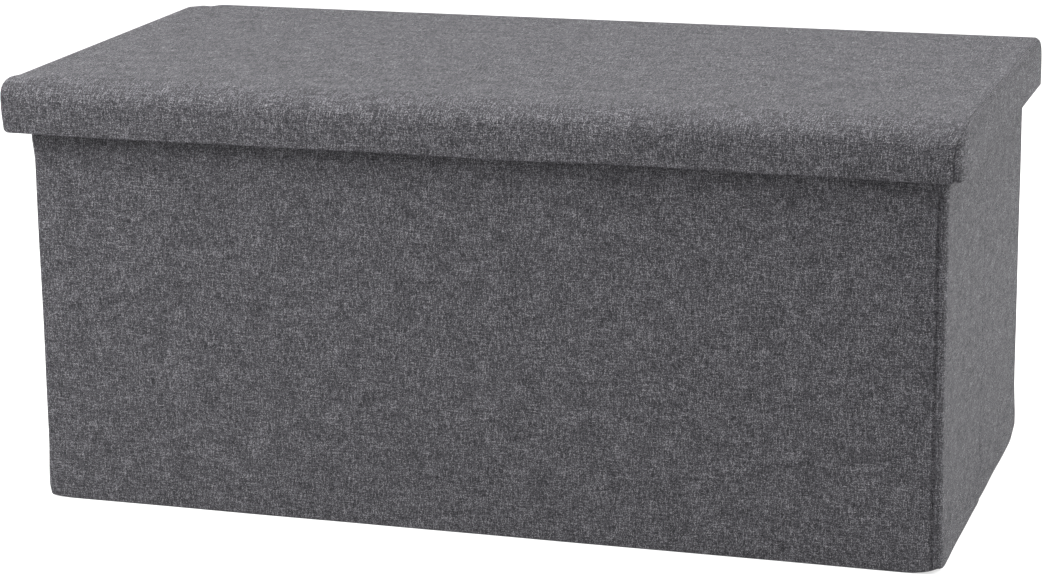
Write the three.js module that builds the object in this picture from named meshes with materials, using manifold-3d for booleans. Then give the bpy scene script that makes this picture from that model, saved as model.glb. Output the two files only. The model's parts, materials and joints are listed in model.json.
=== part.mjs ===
// Folding storage bench: a box of six fabric-covered wall panels on a base board,
// under a padded lift-off lid. Each short side is two half panels, which fold inwards
// between the front and the back wall.
// Millimetres, +Z up. The origin is the middle of the footprint on the floor,
// +X runs along the length and -Y is the front.

import * as THREE from 'three';
import { mergeVertices } from 'three/addons/utils/BufferGeometryUtils.js';
import Module from 'manifold-3d';

const wasm = await Module();
wasm.setup();

// Driving sizes of the box
const bodyLength = 760;
const bodyDepth = 380;
const wallTop = 335;
const panelBottom = 6;

// Driving sizes of the lid
const lidOverhang = 16.5;
const lidTop = 361;
const skirtHem = 317;
const lidRollRadius = 17;
const rollSegments = 10;

// Layers
const gap = 0.3;
const clothThickness = 1;
const liningThickness = 0.7;
const wallBoardThickness = 3.6;
const lidBoardThickness = 5;
const rimBoardThickness = 3;
const baseBoardThickness = 3;
const rimReturn = 25;
const hemThickness = 2.4;
const hemInset = 6;
const baseBoardClearance = 2;

// How far a cutting block reaches past the face that it cuts
const overcut = 1;

const wallThickness = 2 * (clothThickness + gap) + wallBoardThickness;
const innerDepth = bodyDepth - 2 * wallThickness;
const lidLength = bodyLength + 2 * lidOverhang;
const lidDepth = bodyDepth + 2 * lidOverhang;

// Materials
const melangeColour = 0x5c5b62;
const liningColour = 0x1d1d20;
const boardColour = 0x9a7b57;
const foamColour = 0xe8e2d0;

const cloth = (color) => new THREE.MeshStandardMaterial({ color, roughness: 0.95, metalness: 0 });
const melange = () => cloth(melangeColour);
const nonWoven = () => cloth(liningColour);
const hardboard = () => new THREE.MeshStandardMaterial({ color: boardColour, roughness: 0.8, metalness: 0 });
const foam = () => new THREE.MeshStandardMaterial({ color: foamColour, roughness: 1, metalness: 0 });

// A closed geometry as a solid that can be joined and cut
function toSolid(geometry) {
  const bare = geometry.clone();
  bare.deleteAttribute('normal');
  bare.deleteAttribute('uv');
  const merged = mergeVertices(bare);
  return new wasm.Manifold(new wasm.Mesh({
    numProp: 3,
    vertProperties: new Float32Array(merged.attributes.position.array),
    triVerts: new Uint32Array(merged.index.array),
  }));
}

function toGeometry(solid) {
  const cut = solid.getMesh();
  const geometry = new THREE.BufferGeometry();
  geometry.setAttribute('position', new THREE.BufferAttribute(new Float32Array(cut.vertProperties), 3));
  geometry.setIndex(new THREE.BufferAttribute(new Uint32Array(cut.triVerts), 1));
  geometry.computeVertexNormals();
  return geometry;
}

// A block between two opposite corners
function block(low, high) {
  const size = high.map((value, axis) => value - low[axis]);
  const middle = high.map((value, axis) => (value + low[axis]) / 2);
  return new THREE.BoxGeometry(...size).translate(...middle);
}

function mesh(name, geometry, material) {
  const part = new THREE.Mesh(geometry, material);
  part.name = name;
  return part;
}

// The cover of one wall: an outer sheet turned over all four edges,
// with a deeper return inside the top rim
function wallCover(length) {
  const end = length / 2;
  const inner = -wallThickness;
  const lowEdge = panelBottom + clothThickness;
  const body = toSolid(block([-end, inner, panelBottom], [end, 0, wallTop]));
  const boardPocket = toSolid(block(
    [-end + clothThickness, inner + clothThickness, lowEdge],
    [end - clothThickness, -clothThickness, wallTop - clothThickness],
  ));
  const liningWindow = toSolid(block(
    [-end + clothThickness, inner - overcut, lowEdge],
    [end - clothThickness, inner + clothThickness + overcut, wallTop - rimReturn],
  ));
  return toGeometry(body.subtract(boardPocket).subtract(liningWindow));
}

function wallBoard(length) {
  const end = length / 2 - clothThickness - gap;
  return block(
    [-end, -clothThickness - gap - wallBoardThickness, panelBottom + clothThickness + gap],
    [end, -clothThickness - gap, wallTop - clothThickness - gap],
  );
}

function wallLining(length) {
  const end = length / 2 - clothThickness - gap;
  return block(
    [-end, -wallThickness, panelBottom + clothThickness + gap],
    [end, -wallThickness + liningThickness, wallTop - rimReturn - gap],
  );
}

// The doubled lower edge of the cover, which joins the wall to the base cloth
function bottomHem(length) {
  const end = length / 2 - hemInset;
  return block([-end, -hemThickness, 0], [end, 0, panelBottom - gap]);
}

// One wall panel, drawn with its outer face on y = 0 and its inside towards -y
function wallPanel(prefix, length) {
  const panel = new THREE.Group();
  panel.add(
    mesh(`${prefix}_cover`, wallCover(length), melange()),
    mesh(`${prefix}_board`, wallBoard(length), hardboard()),
    mesh(`${prefix}_lining`, wallLining(length), nonWoven()),
    mesh(`${prefix}_bottom_hem`, bottomHem(length), melange()),
  );
  return panel;
}

// The front and the back wall run over the full length.
function longWalls() {
  const back = wallPanel('back_wall', bodyLength);
  back.position.y = bodyDepth / 2;
  const front = wallPanel('front_wall', bodyLength);
  front.position.y = -bodyDepth / 2;
  front.rotation.z = Math.PI;
  return [back, front];
}

// Each short side is a rear and a front half, which meet at the upright centre crease.
function sideHalves() {
  const halfLength = innerDepth / 2 - 1.5 * gap;
  const middle = (innerDepth / 2 - gap / 2) / 2;
  const sides = [['left', -1], ['right', 1]];
  const halves = [['rear', 1], ['front', -1]];
  return sides.flatMap(([side, sideSign]) => halves.map(([half, halfSign]) => {
    const panel = wallPanel(`${side}_${half}_half`, halfLength);
    panel.position.set(sideSign * bodyLength / 2, halfSign * middle, 0);
    panel.rotation.z = -sideSign * Math.PI / 2;
    return panel;
  }));
}

// The sewn base cloth, and on it the loose base board in a slip of lining cloth
function base() {
  const clothLength = bodyLength / 2 - hemThickness - gap;
  const clothDepth = bodyDepth / 2 - hemThickness - gap;
  const slipLength = bodyLength / 2 - wallThickness - baseBoardClearance;
  const slipDepth = innerDepth / 2 - baseBoardClearance;
  const boardLow = clothThickness + gap;
  const boardHigh = boardLow + baseBoardThickness;
  const slipTop = boardHigh + gap + liningThickness;
  const boardLength = slipLength - liningThickness - gap;
  const boardDepth = slipDepth - liningThickness - gap;
  const slipOutside = toSolid(block(
    [-slipLength, -slipDepth, boardLow],
    [slipLength, slipDepth, slipTop],
  ));
  const slipInside = toSolid(block(
    [-slipLength + liningThickness, -slipDepth + liningThickness, boardLow - overcut],
    [slipLength - liningThickness, slipDepth - liningThickness, boardHigh + gap],
  ));
  const baseCloth = block([-clothLength, -clothDepth, 0], [clothLength, clothDepth, clothThickness]);
  const baseBoard = block([-boardLength, -boardDepth, boardLow], [boardLength, boardDepth, boardHigh]);
  return [
    mesh('base_cloth', baseCloth, nonWoven()),
    mesh('base_board', baseBoard, hardboard()),
    mesh('base_board_slip', toGeometry(slipOutside.subtract(slipInside)), nonWoven()),
  ];
}

// The lid's cross-section from its lower edge over the rolled top, inset from the outer surface.
// Shape x is the depth and shape y is the height.
function lidSection(inset, low) {
  const shape = new THREE.Shape();
  const side = lidDepth / 2 - inset;
  const centre = lidDepth / 2 - lidRollRadius;
  const radius = lidRollRadius - inset;
  const height = lidTop - lidRollRadius;
  shape.moveTo(side, low);
  shape.absarc(centre, height, radius, 0, Math.PI / 2, false);
  shape.absarc(-centre, height, radius, Math.PI / 2, Math.PI, false);
  shape.lineTo(-side, low);
  return shape;
}

// A cross-section of the lid run along X between two ends
function alongLength(shape, low, high) {
  const geometry = new THREE.ExtrudeGeometry(shape, {
    depth: high - low,
    bevelEnabled: false,
    curveSegments: rollSegments,
  });
  // The shape's depth, height and run become Y, Z and X.
  geometry.applyMatrix4(new THREE.Matrix4().set(
    0, 0, 1, low,
    1, 0, 0, 0,
    0, 1, 0, 0,
    0, 0, 0, 1,
  ));
  return geometry;
}

// One cloth over the top, the front and the back, turned in under the rim boards at the hem
function lidCover() {
  const reach = lidLength / 2 - clothThickness - gap;
  const outside = toSolid(alongLength(lidSection(0, skirtHem), -reach, reach));
  const past = reach + overcut;
  const inside = toSolid(alongLength(lidSection(clothThickness, skirtHem + clothThickness), -past, past));
  const mouth = lidDepth / 2 - clothThickness - gap - rimBoardThickness;
  const opening = toSolid(block([-past, -mouth, skirtHem - overcut], [past, mouth, lidTop - lidRollRadius]));
  return toGeometry(outside.subtract(inside).subtract(opening));
}

// The end skirt, which closes one end of the lid up to the top seam
function lidEndSkirt() {
  const sheet = toSolid(alongLength(lidSection(0, skirtHem), 0, clothThickness));
  const turnIn = clothThickness + gap + rimBoardThickness;
  const mouth = lidDepth / 2 - turnIn - gap;
  const hem = toSolid(block(
    [-turnIn, -mouth, skirtHem],
    [clothThickness / 2, mouth, skirtHem + clothThickness],
  ));
  return toGeometry(sheet.add(hem));
}

function lidEnds() {
  const left = mesh('lid_left_end_skirt', lidEndSkirt(), melange());
  left.position.x = -lidLength / 2 + clothThickness;
  left.rotation.z = Math.PI;
  const right = mesh('lid_right_end_skirt', lidEndSkirt(), melange());
  right.position.x = lidLength / 2 - clothThickness;
  return [left, right];
}

// Foam, board, rim boards and lining inside the lid's cloth
function lidInside() {
  const lining = wallTop + gap;
  const boardLow = lining + liningThickness + gap;
  const boardHigh = boardLow + lidBoardThickness;
  const rimLow = skirtHem + clothThickness + gap;
  const outerX = lidLength / 2 - clothThickness - gap;
  const outerY = lidDepth / 2 - clothThickness - gap;
  const innerX = outerX - rimBoardThickness - gap;
  const innerY = outerY - rimBoardThickness - gap;
  const longRim = block([-outerX, -rimBoardThickness, rimLow], [outerX, 0, boardHigh]);
  const shortRim = block([-rimBoardThickness, -innerY, rimLow], [0, innerY, boardHigh]);
  const frontRim = mesh('lid_front_rim_board', longRim, hardboard());
  frontRim.position.y = rimBoardThickness - outerY;
  const backRim = mesh('lid_back_rim_board', longRim.clone(), hardboard());
  backRim.position.y = outerY;
  const leftRim = mesh('lid_left_rim_board', shortRim, hardboard());
  leftRim.position.x = rimBoardThickness - outerX;
  const rightRim = mesh('lid_right_rim_board', shortRim.clone(), hardboard());
  rightRim.position.x = outerX;
  const foamSection = lidSection(clothThickness + gap, boardHigh + gap);
  const liningOutside = toSolid(block(
    [-innerX, -innerY, rimLow],
    [innerX, innerY, lining + liningThickness],
  ));
  const liningInside = toSolid(block(
    [-innerX + liningThickness, -innerY + liningThickness, rimLow - overcut],
    [innerX - liningThickness, innerY - liningThickness, lining],
  ));
  return [
    mesh('lid_foam_pad', alongLength(foamSection, -outerX, outerX), foam()),
    mesh('lid_board', block([-innerX, -innerY, boardLow], [innerX, innerY, boardHigh]), hardboard()),
    frontRim,
    backRim,
    leftRim,
    rightRim,
    mesh('lid_lining', toGeometry(liningOutside.subtract(liningInside)), nonWoven()),
  ];
}

function lid() {
  const group = new THREE.Group();
  group.add(mesh('lid_cover', lidCover(), melange()), ...lidEnds(), ...lidInside());
  return group;
}

const storageBench = new THREE.Group();
storageBench.add(...longWalls(), ...sideHalves(), ...base(), lid());

export default storageBench;
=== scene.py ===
"""The looks of the folding storage bench: covers, padded lid, linings, seams, floor, lights and camera."""

import json
import math

import bmesh
import bpy
import numpy as np
from mathutils import Matrix, Vector

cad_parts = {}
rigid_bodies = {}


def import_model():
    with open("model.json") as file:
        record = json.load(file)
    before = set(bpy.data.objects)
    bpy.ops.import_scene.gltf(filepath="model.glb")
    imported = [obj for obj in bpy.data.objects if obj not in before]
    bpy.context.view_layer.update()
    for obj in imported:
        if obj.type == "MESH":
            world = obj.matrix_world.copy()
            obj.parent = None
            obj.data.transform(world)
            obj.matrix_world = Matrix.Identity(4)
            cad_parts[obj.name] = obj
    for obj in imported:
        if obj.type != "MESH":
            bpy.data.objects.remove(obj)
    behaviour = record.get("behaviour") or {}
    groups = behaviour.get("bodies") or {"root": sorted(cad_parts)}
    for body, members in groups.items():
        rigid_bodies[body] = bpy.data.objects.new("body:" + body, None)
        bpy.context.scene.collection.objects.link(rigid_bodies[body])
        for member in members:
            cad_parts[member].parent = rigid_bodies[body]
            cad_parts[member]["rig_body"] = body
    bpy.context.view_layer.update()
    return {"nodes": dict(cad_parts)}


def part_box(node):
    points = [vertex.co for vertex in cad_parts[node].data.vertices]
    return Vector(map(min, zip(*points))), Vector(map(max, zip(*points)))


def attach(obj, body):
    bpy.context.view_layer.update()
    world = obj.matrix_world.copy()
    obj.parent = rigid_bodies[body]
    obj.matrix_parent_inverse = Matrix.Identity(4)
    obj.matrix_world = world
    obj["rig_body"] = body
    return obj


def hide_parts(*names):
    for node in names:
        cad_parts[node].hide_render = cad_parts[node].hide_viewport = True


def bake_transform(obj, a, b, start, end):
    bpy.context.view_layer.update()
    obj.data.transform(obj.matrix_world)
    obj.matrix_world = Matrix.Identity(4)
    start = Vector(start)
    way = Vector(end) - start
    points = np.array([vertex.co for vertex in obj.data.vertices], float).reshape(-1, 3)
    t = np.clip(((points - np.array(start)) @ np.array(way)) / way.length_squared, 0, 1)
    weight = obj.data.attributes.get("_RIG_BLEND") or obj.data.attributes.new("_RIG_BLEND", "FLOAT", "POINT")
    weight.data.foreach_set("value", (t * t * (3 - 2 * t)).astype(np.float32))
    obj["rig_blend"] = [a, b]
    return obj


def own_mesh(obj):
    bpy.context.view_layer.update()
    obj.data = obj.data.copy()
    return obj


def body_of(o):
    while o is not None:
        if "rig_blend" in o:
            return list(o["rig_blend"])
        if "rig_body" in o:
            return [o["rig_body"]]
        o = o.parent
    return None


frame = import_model()

# ---- Sizes read from the frame, in metres

WALL_LOW, WALL_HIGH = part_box("front_wall_cover")
LINING_LOW, LINING_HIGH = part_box("front_wall_lining")
SIDE_LOW, SIDE_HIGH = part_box("right_front_half_cover")
LID_LOW, LID_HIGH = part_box("lid_cover")
SLIP_LOW, SLIP_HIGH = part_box("base_board_slip")
BASE_LOW, BASE_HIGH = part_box("base_cloth")
FOAM_LOW, FOAM_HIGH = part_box("lid_foam_pad")
TRAY_LOW, TRAY_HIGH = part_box("lid_lining")

HALF_LENGTH = WALL_HIGH.x
HALF_DEPTH = -WALL_LOW.y
WALL_TOP = WALL_HIGH.z
WALL = WALL_HIGH.y - WALL_LOW.y
HINGE_Y = HALF_DEPTH - WALL
SIDE_END = -SIDE_LOW.y
CREASE_GAP = -SIDE_HIGH.y
LINING_BOTTOM = LINING_LOW.z
LINING_TOP = LINING_HIGH.z
LID_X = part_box("lid_right_end_skirt")[1].x
LID_Y = LID_HIGH.y
LID_TOP = LID_HIGH.z
LID_HEM = LID_LOW.z
UP = np.array((0, 0, 1.0))

# ---- Sizes of what the frame leaves out, in metres. A pair is for the left end (-1) and the right (1).

# Cloth, thread and boards
CLOTH = 0.0007
STRIP_CLOTH = 0.0005
LINING = 0.00056
THREAD_RADIUS = 0.00034
THREAD_RISE = 0.00025
BOARD_EASE = 0.0005
BOARD_CORNER = 0.0020
BOARD_ROUND = 0.0190
BOARD_TRIM = 0.0032

# Edges of the wall covers
SEAM_CORNER = 0.0052
PLAIN_CORNER = 0.0026
HINGE_EDGE = 0.0006
CREASE_EDGE = 0.0020
TOP_EDGE = 0.0024
HEM_EDGE = 0.0016
SEAM_INSET = 0.0064
SEAM_DEPTH = 0.0016
SEAM_LIP = 0.0006
ROUND_POINTS = 7
END_POINTS = 3

# Strips across the fold lines
CORNER_RECESS = 0.0004
CORNER_REACH = 0.0016
CREASE_RECESS = 0.0010
CREASE_REACH = 0.0030

# Soft shape of the body
FACE_FULLNESS = 0.0006
FACE_FLARE = 0.0010
FACE_FOOT = 0.0006
SIDE_FLARES = {-1: 0.0021, 1: 0.0006}
SIDE_FOOT = 0.0014
SIDE_HOLLOW = 0.0005
CREASE_DIP = 0.0004
CREASE_WIDTH = 0.0045
HEEL = 0.0009
HEEL_WIDTH = 0.045
FOOT_CORNER = 0.0260
FOOT_HEIGHT = 0.0300
FOOT_LIFTS = {-1: 0.0028, 1: 0.0115}
LINING_SAG = 0.00028

# Lid
ROLL = 0.0185
FRONT_ROLL_DEPTH = 0.0400
TOP_FILLETS = {-1: 0.0040, 1: 0.0055}
CORNER_FILLETS = {-1: 0.0042, 1: 0.0068}
CORNER_DRAW = 0.0056
CORNER_DRAW_REACH = 0.0300
SQUARED_ROLL = 0.0058
SEAM_ANGLE = math.radians(38)
SEAM_HALF_WIDTH = 0.0009
HEM_CORNER = 0.0052
HEM_RETURN = 0.0043
HEM_ROUND = 0.0012
HEM_REACH = 0.014
HEM_WAVE = 0.0004
SKIRT_WAVE = 0.0003
SKIRT_FULLNESS = 0.0007
END_FULLNESS = 0.0005
END_LEAN = 0.0028
LID_SHIFT = Vector((-0.0028, 0, 0))
CROWN = 0.0026
PRESSURE_FRAMES = 20

# Camera: millimetres of lens; azimuth, elevation and roll in degrees
CAMERA_LENS = 109.13
CAMERA_ANGLES = (-72.730, 14.526, -0.668)
CAMERA_PLACE = (0.7631, -2.5138, 0.8385)


# ---- Mesh building

def smoothstep(value):
    value = np.clip(value, 0.0, 1.0)
    return value * value * (3.0 - 2.0 * value)


def rising(value, start, over):
    """0 up to start, then a smooth rise to 1 over that distance"""
    return smoothstep((value - start) / over)


def bell(value, width):
    """1 at zero, and a soft fall to 0 on both sides"""
    return np.exp(-(value / width) ** 2)


def arc(count):
    """Angles of a quarter turn"""
    return np.linspace(0.0, math.pi / 2, count)


def distance_along(path):
    """How far along the path each of its points lies"""
    return np.concatenate([[0.0], np.cumsum(np.linalg.norm(np.diff(path, axis=0), axis=1))])


def soft_waves(across, along, seed, shortest=0.07, longest=0.22):
    """Gentle random unevenness between about -1 and 1, the same on each run"""
    count = 7
    random = np.random.default_rng(seed)
    total = np.zeros(np.broadcast(across, along).shape)
    for _ in range(count):
        turn = random.uniform(0, math.tau)
        length = random.uniform(shortest, longest)
        phase = random.uniform(0, math.tau)
        distance = across * math.cos(turn) + along * math.sin(turn)
        total = total + np.sin(math.tau / length * distance + phase)
    return total / math.sqrt(count)


def stations(low, high, step, dense=()):
    """Positions from low to high about a step apart, closer in each (from, to, step) stretch of dense"""
    crowded = 0.45
    values = list(np.linspace(low, high, max(2, round((high - low) / step) + 1)))
    for start, end, fine in dense:
        values += list(np.linspace(start, end, max(2, round((end - start) / fine) + 1)))
    values = sorted(v for v in values if low <= v <= high)
    kept = [values[0]]
    closest = min([step] + [fine for _, _, fine in dense]) * crowded
    for value in values[1:-1]:
        if value - kept[-1] > closest and values[-1] - value > closest:
            kept.append(value)
    return np.array(kept + [values[-1]])


def mesh_object(name, points, faces, face_uvs, material):
    """A smooth object of these faces, with its cloth coordinates in metres in the map called weave"""
    mesh = bpy.data.meshes.new(name)
    mesh.from_pydata([tuple(p) for p in points], [], [tuple(f) for f in faces])
    layer = mesh.uv_layers.new(name="weave")
    layer.data.foreach_set("uv", np.asarray(face_uvs, np.float32).ravel())
    mesh.materials.append(material)
    mesh.shade_smooth()
    piece = bpy.data.objects.new(name, mesh)
    bpy.context.scene.collection.objects.link(piece)
    return piece


def grid_faces(rows, columns, wrap=False):
    """Corner indices of a grid of quads: into its points, and into its coordinates, which have one column
    more when the grid wraps round"""
    i, j = np.meshgrid(np.arange(rows - 1), np.arange(columns if wrap else columns - 1), indexing="ij")
    i, j = i.ravel(), j.ravel()
    after = (j + 1) % columns
    width = columns + 1 if wrap else columns
    corners = [i * columns + j, i * columns + after, (i + 1) * columns + after, (i + 1) * columns + j]
    places = [i * width + j, i * width + j + 1, (i + 1) * width + j + 1, (i + 1) * width + j]
    return np.stack(corners, 1), np.stack(places, 1)


def grid_object(name, points, coordinates, material, wrap=False, keep=None):
    """An object from a (rows, columns, 3) array. keep says which (row, column) faces stay."""
    rows, columns = points.shape[:2]
    corners, places = grid_faces(rows, columns, wrap)
    if keep is not None:
        corners, places = corners[keep.ravel()], places[keep.ravel()]
    uvs = coordinates.reshape(-1, 2)[places]
    return mesh_object(name, points.reshape(-1, 3), corners, uvs, material)


def weld(piece):
    """Joins points that lie together, and drops points that no face uses"""
    distance = 0.00002
    work = bmesh.new()
    work.from_mesh(piece.data)
    loose = [v for v in work.verts if not v.link_faces]
    bmesh.ops.delete(work, geom=loose, context="VERTS")
    bmesh.ops.remove_doubles(work, verts=work.verts, dist=distance)
    bmesh.ops.dissolve_degenerate(work, edges=work.edges, dist=distance)
    work.to_mesh(piece.data)
    work.free()
    return piece


def grids_object(name, grids, material):
    """One welded object from several (points, coordinates) grids"""
    points, uvs, corners, places = [], [], [], []
    for grid, coordinates in grids:
        rows, columns = grid.shape[:2]
        grid_corners, grid_places = grid_faces(rows, columns)
        start = sum(len(block) for block in points)
        corners.append(grid_corners + start)
        places.append(grid_places + start)
        points.append(grid.reshape(-1, 3))
        uvs.append(coordinates.reshape(-1, 2))
    face_uvs = np.concatenate(uvs)[np.concatenate(places)]
    return weld(mesh_object(name, np.concatenate(points), np.concatenate(corners), face_uvs, material))


def slab(
    name, low, high, waist, reach, corner, material, open_below=False, wave=0.0, step=0.012,
):
    """A flat piece that fills the box from low to high and is widest at the height waist. Its edges round
    over within reach of its sides, and its plan corners have the radius corner."""
    middle = (np.array(low) + np.array(high)) / 2
    half = (np.array(high) - np.array(low)) / 2
    turn = arc(6)[:-1]

    def places(size, edge):
        border = edge * (1 - np.cos(turn)) - size
        inner = stations(edge - size, size - edge, step)
        return np.concatenate([border, inner, -border[::-1]])

    def shares(size, edge):
        count = len(places(size, edge)) - 2 * len(turn)
        return np.concatenate([np.sin(turn), np.ones(count), np.sin(turn)[::-1]])

    x, y = np.meshgrid(places(half[0], reach[0]), places(half[1], reach[1]), indexing="ij")
    share = np.outer(shares(half[0], reach[0]), shares(half[1], reach[1]))
    out_x = np.maximum(np.abs(x) - (half[0] - corner), 0)
    out_y = np.maximum(np.abs(y) - (half[1] - corner), 0)
    shrink = np.maximum(out_x, out_y) / np.maximum(np.hypot(out_x, out_y), 1e-9)
    both = (out_x > 0) & (out_y > 0)
    flat_x = np.where(both, np.sign(x) * (half[0] - corner + out_x * shrink), x)
    flat_y = np.where(both, np.sign(y) * (half[1] - corner + out_y * shrink), y)
    uneven = wave * share * soft_waves(x, y, seed=len(name), shortest=0.04, longest=0.15)
    coordinates = np.stack([x, y], -1)
    top = np.stack([flat_x + middle[0], flat_y + middle[1], waist + (high[2] - waist) * share + uneven], -1)
    under = np.stack([flat_x + middle[0], flat_y + middle[1], waist - (waist - low[2]) * share], -1)
    sides = [(top[::-1], coordinates[::-1])]
    other_cut = 0.9
    if not open_below:
        sides.append((under, coordinates + other_cut))
    return grids_object(name, sides, material)


def thicken(piece, thickness):
    """Gives a sheet its thickness, inwards from its outer face"""
    solid = piece.modifiers.new("cloth thickness", "SOLIDIFY")
    solid.thickness = thickness
    solid.offset = -1.0
    solid.use_even_offset = False


def stand_in(piece, body, slot, *nodes):
    """The piece rides on its body and shows instead of these CAD nodes"""
    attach(piece, body)
    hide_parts(*nodes)


# ---- Materials

class Nodes:
    """Short names for the nodes of one material"""

    def __init__(self, name):
        self.material = bpy.data.materials.new(name)
        self.material.use_nodes = True
        self.tree = self.material.node_tree
        self.tree.nodes.clear()
        self.shader = self.tree.nodes.new("ShaderNodeBsdfPrincipled")
        output = self.tree.nodes.new("ShaderNodeOutputMaterial")
        self.tree.links.new(self.shader.outputs["BSDF"], output.inputs["Surface"])

    def put(self, socket, value):
        if isinstance(value, bpy.types.NodeSocket):
            self.tree.links.new(value, socket)
        else:
            socket.default_value = value

    def math(self, operation, *values):
        node = self.tree.nodes.new("ShaderNodeMath")
        node.operation = operation
        for socket, value in zip(node.inputs, values):
            self.put(socket, value)
        return node.outputs[0]

    def times(self, a, b):
        return self.math("MULTIPLY", a, b)

    def combine(self, x, y, z=0.0):
        node = self.tree.nodes.new("ShaderNodeCombineXYZ")
        for socket, value in zip(node.inputs, (x, y, z)):
            self.put(socket, value)
        return node.outputs[0]

    def stretched(self, u, v, scale_u, scale_v, layer=0.0):
        """Noise coordinates with a scale of their own in each direction"""
        return self.combine(self.times(u, scale_u), self.times(v, scale_v), layer)

    def weave_coordinates(self):
        source = self.tree.nodes.new("ShaderNodeUVMap")
        source.uv_map = "weave"
        split = self.tree.nodes.new("ShaderNodeSeparateXYZ")
        self.tree.links.new(source.outputs["UV"], split.inputs[0])
        return split.outputs[0], split.outputs[1]

    def object_coordinates(self):
        return self.tree.nodes.new("ShaderNodeTexCoord").outputs["Object"]

    def noise(self, vector, scale=1.0, detail=0.0, roughness=0.5):
        node = self.tree.nodes.new("ShaderNodeTexNoise")
        self.put(node.inputs["Vector"], vector)
        node.inputs["Scale"].default_value = scale
        node.inputs["Detail"].default_value = detail
        node.inputs["Roughness"].default_value = roughness
        return node.outputs["Fac"]

    def white_noise(self, vector):
        node = self.tree.nodes.new("ShaderNodeTexWhiteNoise")
        node.noise_dimensions = "2D"
        self.put(node.inputs["Vector"], vector)
        return node.outputs["Value"]

    def mix(self, factor, a, b):
        return self.math("ADD", a, self.times(factor, self.math("SUBTRACT", b, a)))

    def weighted(self, *pairs):
        """Sum of (value, centre, weight): each value less its centre, times its weight"""
        total = 0.0
        for value, centre, weight in pairs:
            away = self.math("SUBTRACT", value, centre)
            total = self.math("ADD", total, self.times(away, weight))
        return total

    def ramp(self, factor, stops):
        node = self.tree.nodes.new("ShaderNodeValToRGB")
        self.put(node.inputs["Fac"], factor)
        elements = node.color_ramp.elements
        while len(elements) < len(stops):
            elements.new(0.5)
        for element, (position, colour) in zip(elements, stops):
            element.position = position
            element.color = (*colour, 1.0)
        return node.outputs["Color"]

    def bump(self, height, distance, strength):
        node = self.tree.nodes.new("ShaderNodeBump")
        node.inputs["Strength"].default_value = strength
        node.inputs["Distance"].default_value = distance
        self.put(node.inputs["Height"], height)
        return node.outputs["Normal"]


def melange_material():
    """Plain weave of spun melange yarns: dark and light fibres, slubs along the yarns, a soft sheen"""
    pitch = 0.00064
    n = Nodes("melange cloth")
    u, v = n.weave_coordinates()
    wander = n.noise(n.combine(u, v), scale=90.0, detail=1.0)
    shift = n.times(n.math("SUBTRACT", wander, 0.5), 1.1)
    warp = n.math("ADD", n.math("DIVIDE", u, pitch), shift)
    weft = n.math("ADD", n.math("DIVIDE", v, pitch), shift)
    column = n.math("FLOOR", warp)
    row = n.math("FLOOR", weft)
    across_warp = n.math("SINE", n.times(n.math("FRACT", warp), math.pi))
    across_weft = n.math("SINE", n.times(n.math("FRACT", weft), math.pi))
    warp_up = n.math("MODULO", n.math("ABSOLUTE", n.math("ADD", column, row)), 2.0)

    # Each yarn changes shade along its own length, and each crossing has fibres of its own.
    warp_slub = n.noise(n.stretched(column, v, 3.7, 115.0), detail=1.0)
    weft_slub = n.noise(n.stretched(u, row, 90.0, 3.7, layer=9.0), detail=1.0)
    fibres = n.white_noise(n.combine(column, row))
    wisps = n.noise(n.stretched(u, v, 900.0, 1500.0), detail=1.0)
    clouds = n.noise(n.stretched(u, v, 45.0, 70.0), detail=2.0)
    slub = n.mix(warp_up, weft_slub, warp_slub)
    crossing = n.mix(warp_up, across_weft, across_warp)
    # Weighed into the shade, crossing makes each yarn lighter on its crown and darker towards its edges:
    # painted shade between the yarns, on top of the bump that crossing also gives.
    shade = n.weighted(
        (0.5, 0.0, 1.0),
        (fibres, 0.5, 0.62),
        (slub, 0.5, 1.35),
        (wisps, 0.5, 0.30),
        (clouds, 0.5, 0.24),
        (crossing, 0.64, 0.20),
        (warp_up, 0.5, 0.10),
    )
    colour = n.ramp(shade, [
        (0.02, (0.0030, 0.0029, 0.0037)),
        (0.34, (0.0120, 0.0116, 0.0141)),
        (0.56, (0.0320, 0.0309, 0.0360)),
        (0.78, (0.0815, 0.0790, 0.0885)),
        (1.00, (0.1900, 0.1850, 0.1970)),
    ])
    height = n.weighted((crossing, 0.0, 0.7), (slub, 0.0, 0.6), (fibres, 0.0, 0.5))
    shader = n.shader.inputs
    n.put(shader["Base Color"], colour)
    n.put(shader["Normal"], n.bump(height, 0.0005, 0.9))
    n.put(shader["Roughness"], n.math("SUBTRACT", 0.98, n.times(shade, 0.50)))
    shader["Specular IOR Level"].default_value = 0.30
    shader["Sheen Weight"].default_value = 0.025
    shader["Sheen Roughness"].default_value = 0.45
    shader["Sheen Tint"].default_value = (0.86, 0.84, 0.92, 1.0)
    return n.material


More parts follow.
